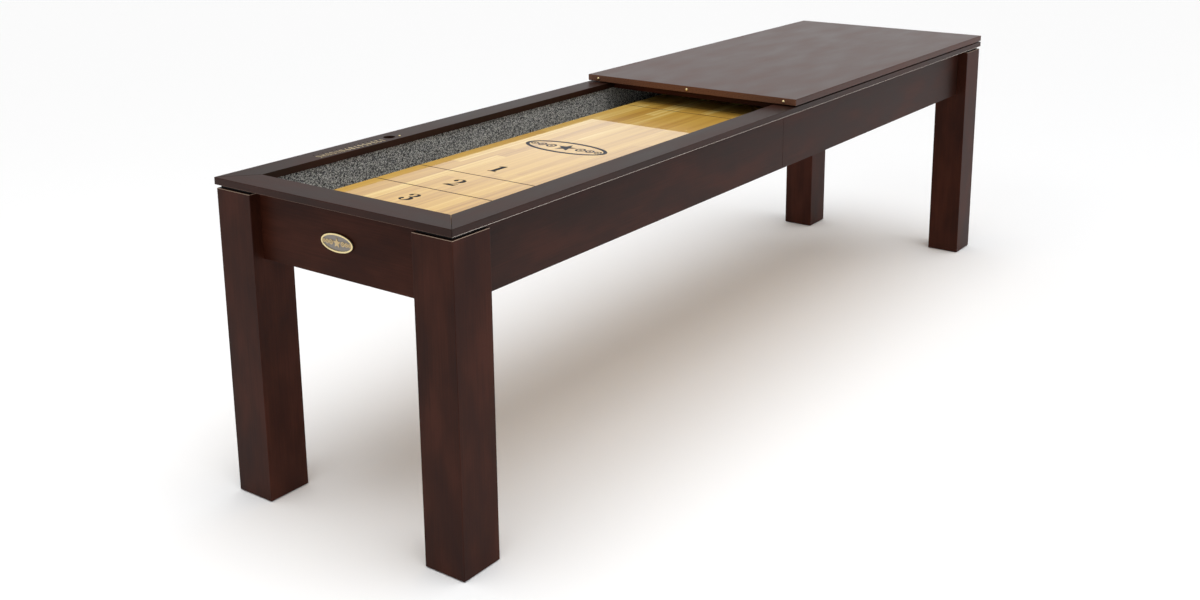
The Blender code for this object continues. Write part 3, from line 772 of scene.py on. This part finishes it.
def leg_bolts():
    """Two washers, nuts and bolt ends on each corner brace, where the legs are drawn up tight."""
    for corner in ("near_left", "near_right", "far_left", "far_right"):
        low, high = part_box("corner_brace_" + corner)
        middle = (low + high) / 2
        inward = Vector((-math.copysign(1, middle.x), -math.copysign(1, middle.y), 0)).normalized()
        along = Vector((-inward.y, inward.x, 0))
        turn = inward.to_track_quat("Z", "Y").to_euler()
        nut_top = WASHER_THICK + NUT_THICK
        discs = [
            (WASHER_SIDES, WASHER_DIAMETER, 0, WASHER_THICK),
            (NUT_SIDES, NUT_ACROSS / math.cos(math.pi / NUT_SIDES), WASHER_THICK, nut_top),
            (BOLT_SIDES, BOLT_DIAMETER, WASHER_THICK, nut_top + BOLT_SHOWS),
        ]
        for number, offset in enumerate((-BOLT_APART / 2, BOLT_APART / 2), start=1):
            bolt = stacked(f"leg_bolt_{corner}_{number}", discs, middle + along * offset, turn)
            keep(bolt, FINISHES["zinc_steel"], "table")


def frame_screws():
    """Button-head screws up through the ends of the cross rails."""
    for rail in ("near", "middle", "far"):
        low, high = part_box(rail + "_cross_rail")
        for side, y in (("left", high.y - SCREW_INSET), ("right", low.y + SCREW_INSET)):
            for number, x in enumerate((low.x + SCREW_EDGE, high.x - SCREW_EDGE), start=1):
                name = f"{rail}_rail_screw_{side}_{number}"
                place, downward = (x, y, low.z), (math.pi, 0, 0)
                head = domed_head(name, SCREW_HEAD, SCREW_RISE, place, downward, SCREW_SOCKET)
                keep(head, FINISHES["zinc_steel"], "table")


# ---- stage ----
def studio():
    """A pale floor in a grey room with a bank of soft light beyond each end of the table."""
    world = bpy.data.worlds.new("studio")
    bpy.context.scene.world = world
    world.use_nodes = True
    tree = world.node_tree
    direction = add_node(tree, "TexCoord").outputs["Generated"]
    bank = (math.cos(BANK_TURN), math.sin(BANK_TURN), 0)
    towards = add_node(tree, "VectorMath", {0: direction, 1: bank}, operation="DOT_PRODUCT")
    either = add_node(tree, "Math", {0: towards.outputs["Value"]}, operation="ABSOLUTE")
    height = add_node(tree, "SeparateXYZ", {"Vector": direction}).outputs["Z"]
    spans = (
        (either.outputs[0], math.cos(BANK_OUTER), math.cos(BANK_INNER)),
        (height, math.sin(BANK_TOP), math.sin(BANK_FULL_HEIGHT)),
    )
    fades = []
    for value, dark, full in spans:
        span = {"Value": value, "From Min": dark, "From Max": full}
        fades.append(add_node(tree, "MapRange", span, interpolation_type="SMOOTHSTEP").outputs["Result"])
    glow = add_node(tree, "Math", {0: fades[0], 1: fades[1]}, operation="MULTIPLY")
    level = add_node(tree, "Mix", {"Factor": glow.outputs[0], 2: ROOM_LIGHT, 3: BANK_LIGHT}).outputs[0]
    seen = add_node(tree, "LightPath").outputs["Is Camera Ray"]
    shown = add_node(tree, "Mix", {"Factor": seen, 2: level, 3: BACKDROP})
    background = tree.nodes["Background"]
    background.inputs["Color"].default_value = linear("#ffffff")
    tree.links.new(shown.outputs[0], background.inputs["Strength"])
    mesh = bpy.data.meshes.new("studio_floor")
    mesh.from_pydata([(x, y, 0) for x, y, _ in rectangle(FLOOR_SIZE, FLOOR_SIZE)], [], [(0, 1, 2, 3)])
    paint, _, _ = new_material(
        "pale_floor", Base_Color=linear("#fdfdfd"), Roughness=0.9, Specular_IOR_Level=0.0
    )
    mesh.materials.append(paint)
    placed("studio_floor", mesh)


def softbox(name, place, target, size, watts, code):
    """A soft lamp that faces its target and isn't seen itself."""
    light = bpy.data.lights.new(name, "AREA")
    light.shape = "RECTANGLE"
    light.size, light.size_y = size
    light.energy = watts
    light.color = linear(code)[:3]
    facing = (Vector(target) - Vector(place)).to_track_quat("-Z", "Y").to_euler()
    placed(name, light, place, facing).visible_camera = False


def lights():
    """A wide scrim overhead, and a softbox at the table's right side and over its near end."""
    scrim = bpy.data.lights.new("overhead_scrim", "SUN")
    scrim.energy = SCRIM_LIGHT
    scrim.angle = SCRIM_ANGLE
    placed("overhead_scrim", scrim, turn=(SCRIM_TILT, 0, 0))
    softbox("side_softbox", *SIDE_SOFTBOX)
    softbox("near_end_softbox", *NEAR_END_SOFTBOX)


def camera():
    """Seen from the near right corner, a little above the table."""
    lens = bpy.data.cameras.new("camera")
    lens.lens = CAMERA_LENS
    lens.shift_x, lens.shift_y = CAMERA_SHIFT
    level = Euler((math.pi / 2 - CAMERA_PITCH, 0, CAMERA_YAW - math.pi / 2)).to_matrix()
    turn = (level @ Euler((0, 0, CAMERA_ROLL)).to_matrix()).to_euler()
    bpy.context.scene.camera = placed("camera", lens, CAMERA_AT, turn)


camera()
studio()
lights()
finish_nodes()
playfield_markings()
scorer()
badge_relief()
leg_bolts()
frame_screws()
bpy.context.scene.view_settings.view_transform = "Standard"
